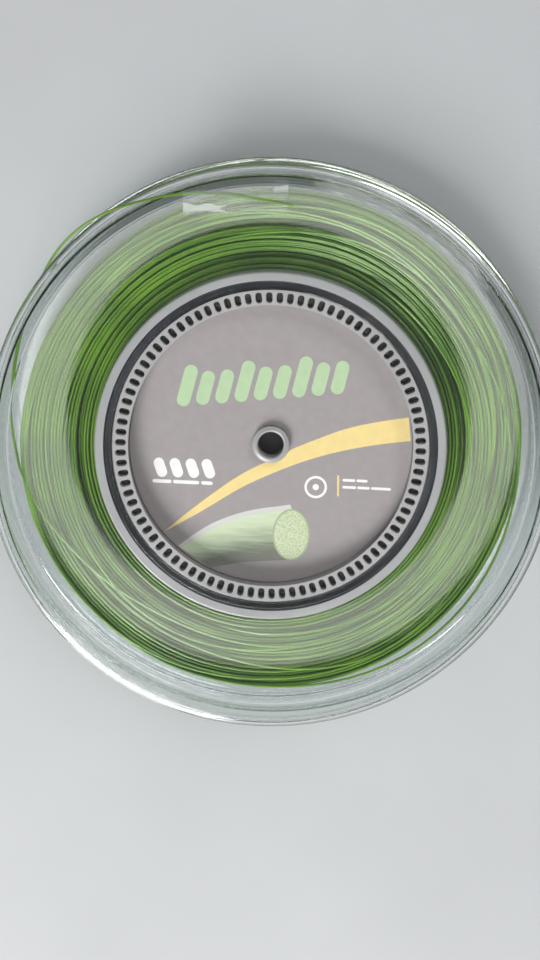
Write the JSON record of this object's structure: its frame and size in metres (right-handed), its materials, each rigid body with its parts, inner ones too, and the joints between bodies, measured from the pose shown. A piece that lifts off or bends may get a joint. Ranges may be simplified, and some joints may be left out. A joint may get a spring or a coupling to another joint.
{
  "type": "string reel",
  "caption": "Clear plastic flanged reel with a milky grey core, wound with green racket string, with recessed label faces, a spindle bore and a taped loose tail.",
  "frame": {"origin": "on the spindle axis, level with the lowest face of the back rim, on which the reel lies", "axes": "+Z along the spindle axis, from the back flange to the front flange; +X to the right and +Y away when the front label is read from above"},
  "size_m": [0.268, 0.268, 0.0449],
  "materials": {
    "clear_plastic": "water-clear moulded polystyrene, glossy",
    "core_plastic": "pale grey milky polystyrene, satin",
    "label_print": "printed warm grey label with a pale yellow band and a green mark",
    "green_string": "smooth coated green multifilament string",
    "clear_tape": "clear adhesive film"
  },
  "bodies": {
    "root": {"front_plate": "clear_plastic", "front_lip": "clear_plastic", "front_collar": "clear_plastic", "back_plate": "clear_plastic", "back_lip": "clear_plastic", "back_collar": "clear_plastic", "core_drum": "core_plastic", "core_web": "core_plastic", "core_boss": "core_plastic", "front_label": "label_print", "back_label": "label_print", "string_winding": "green_string", "string_tail": "green_string", "tail_tape": "clear_tape", "anchor_tape": "clear_tape"}
  },
  "joints": []
}
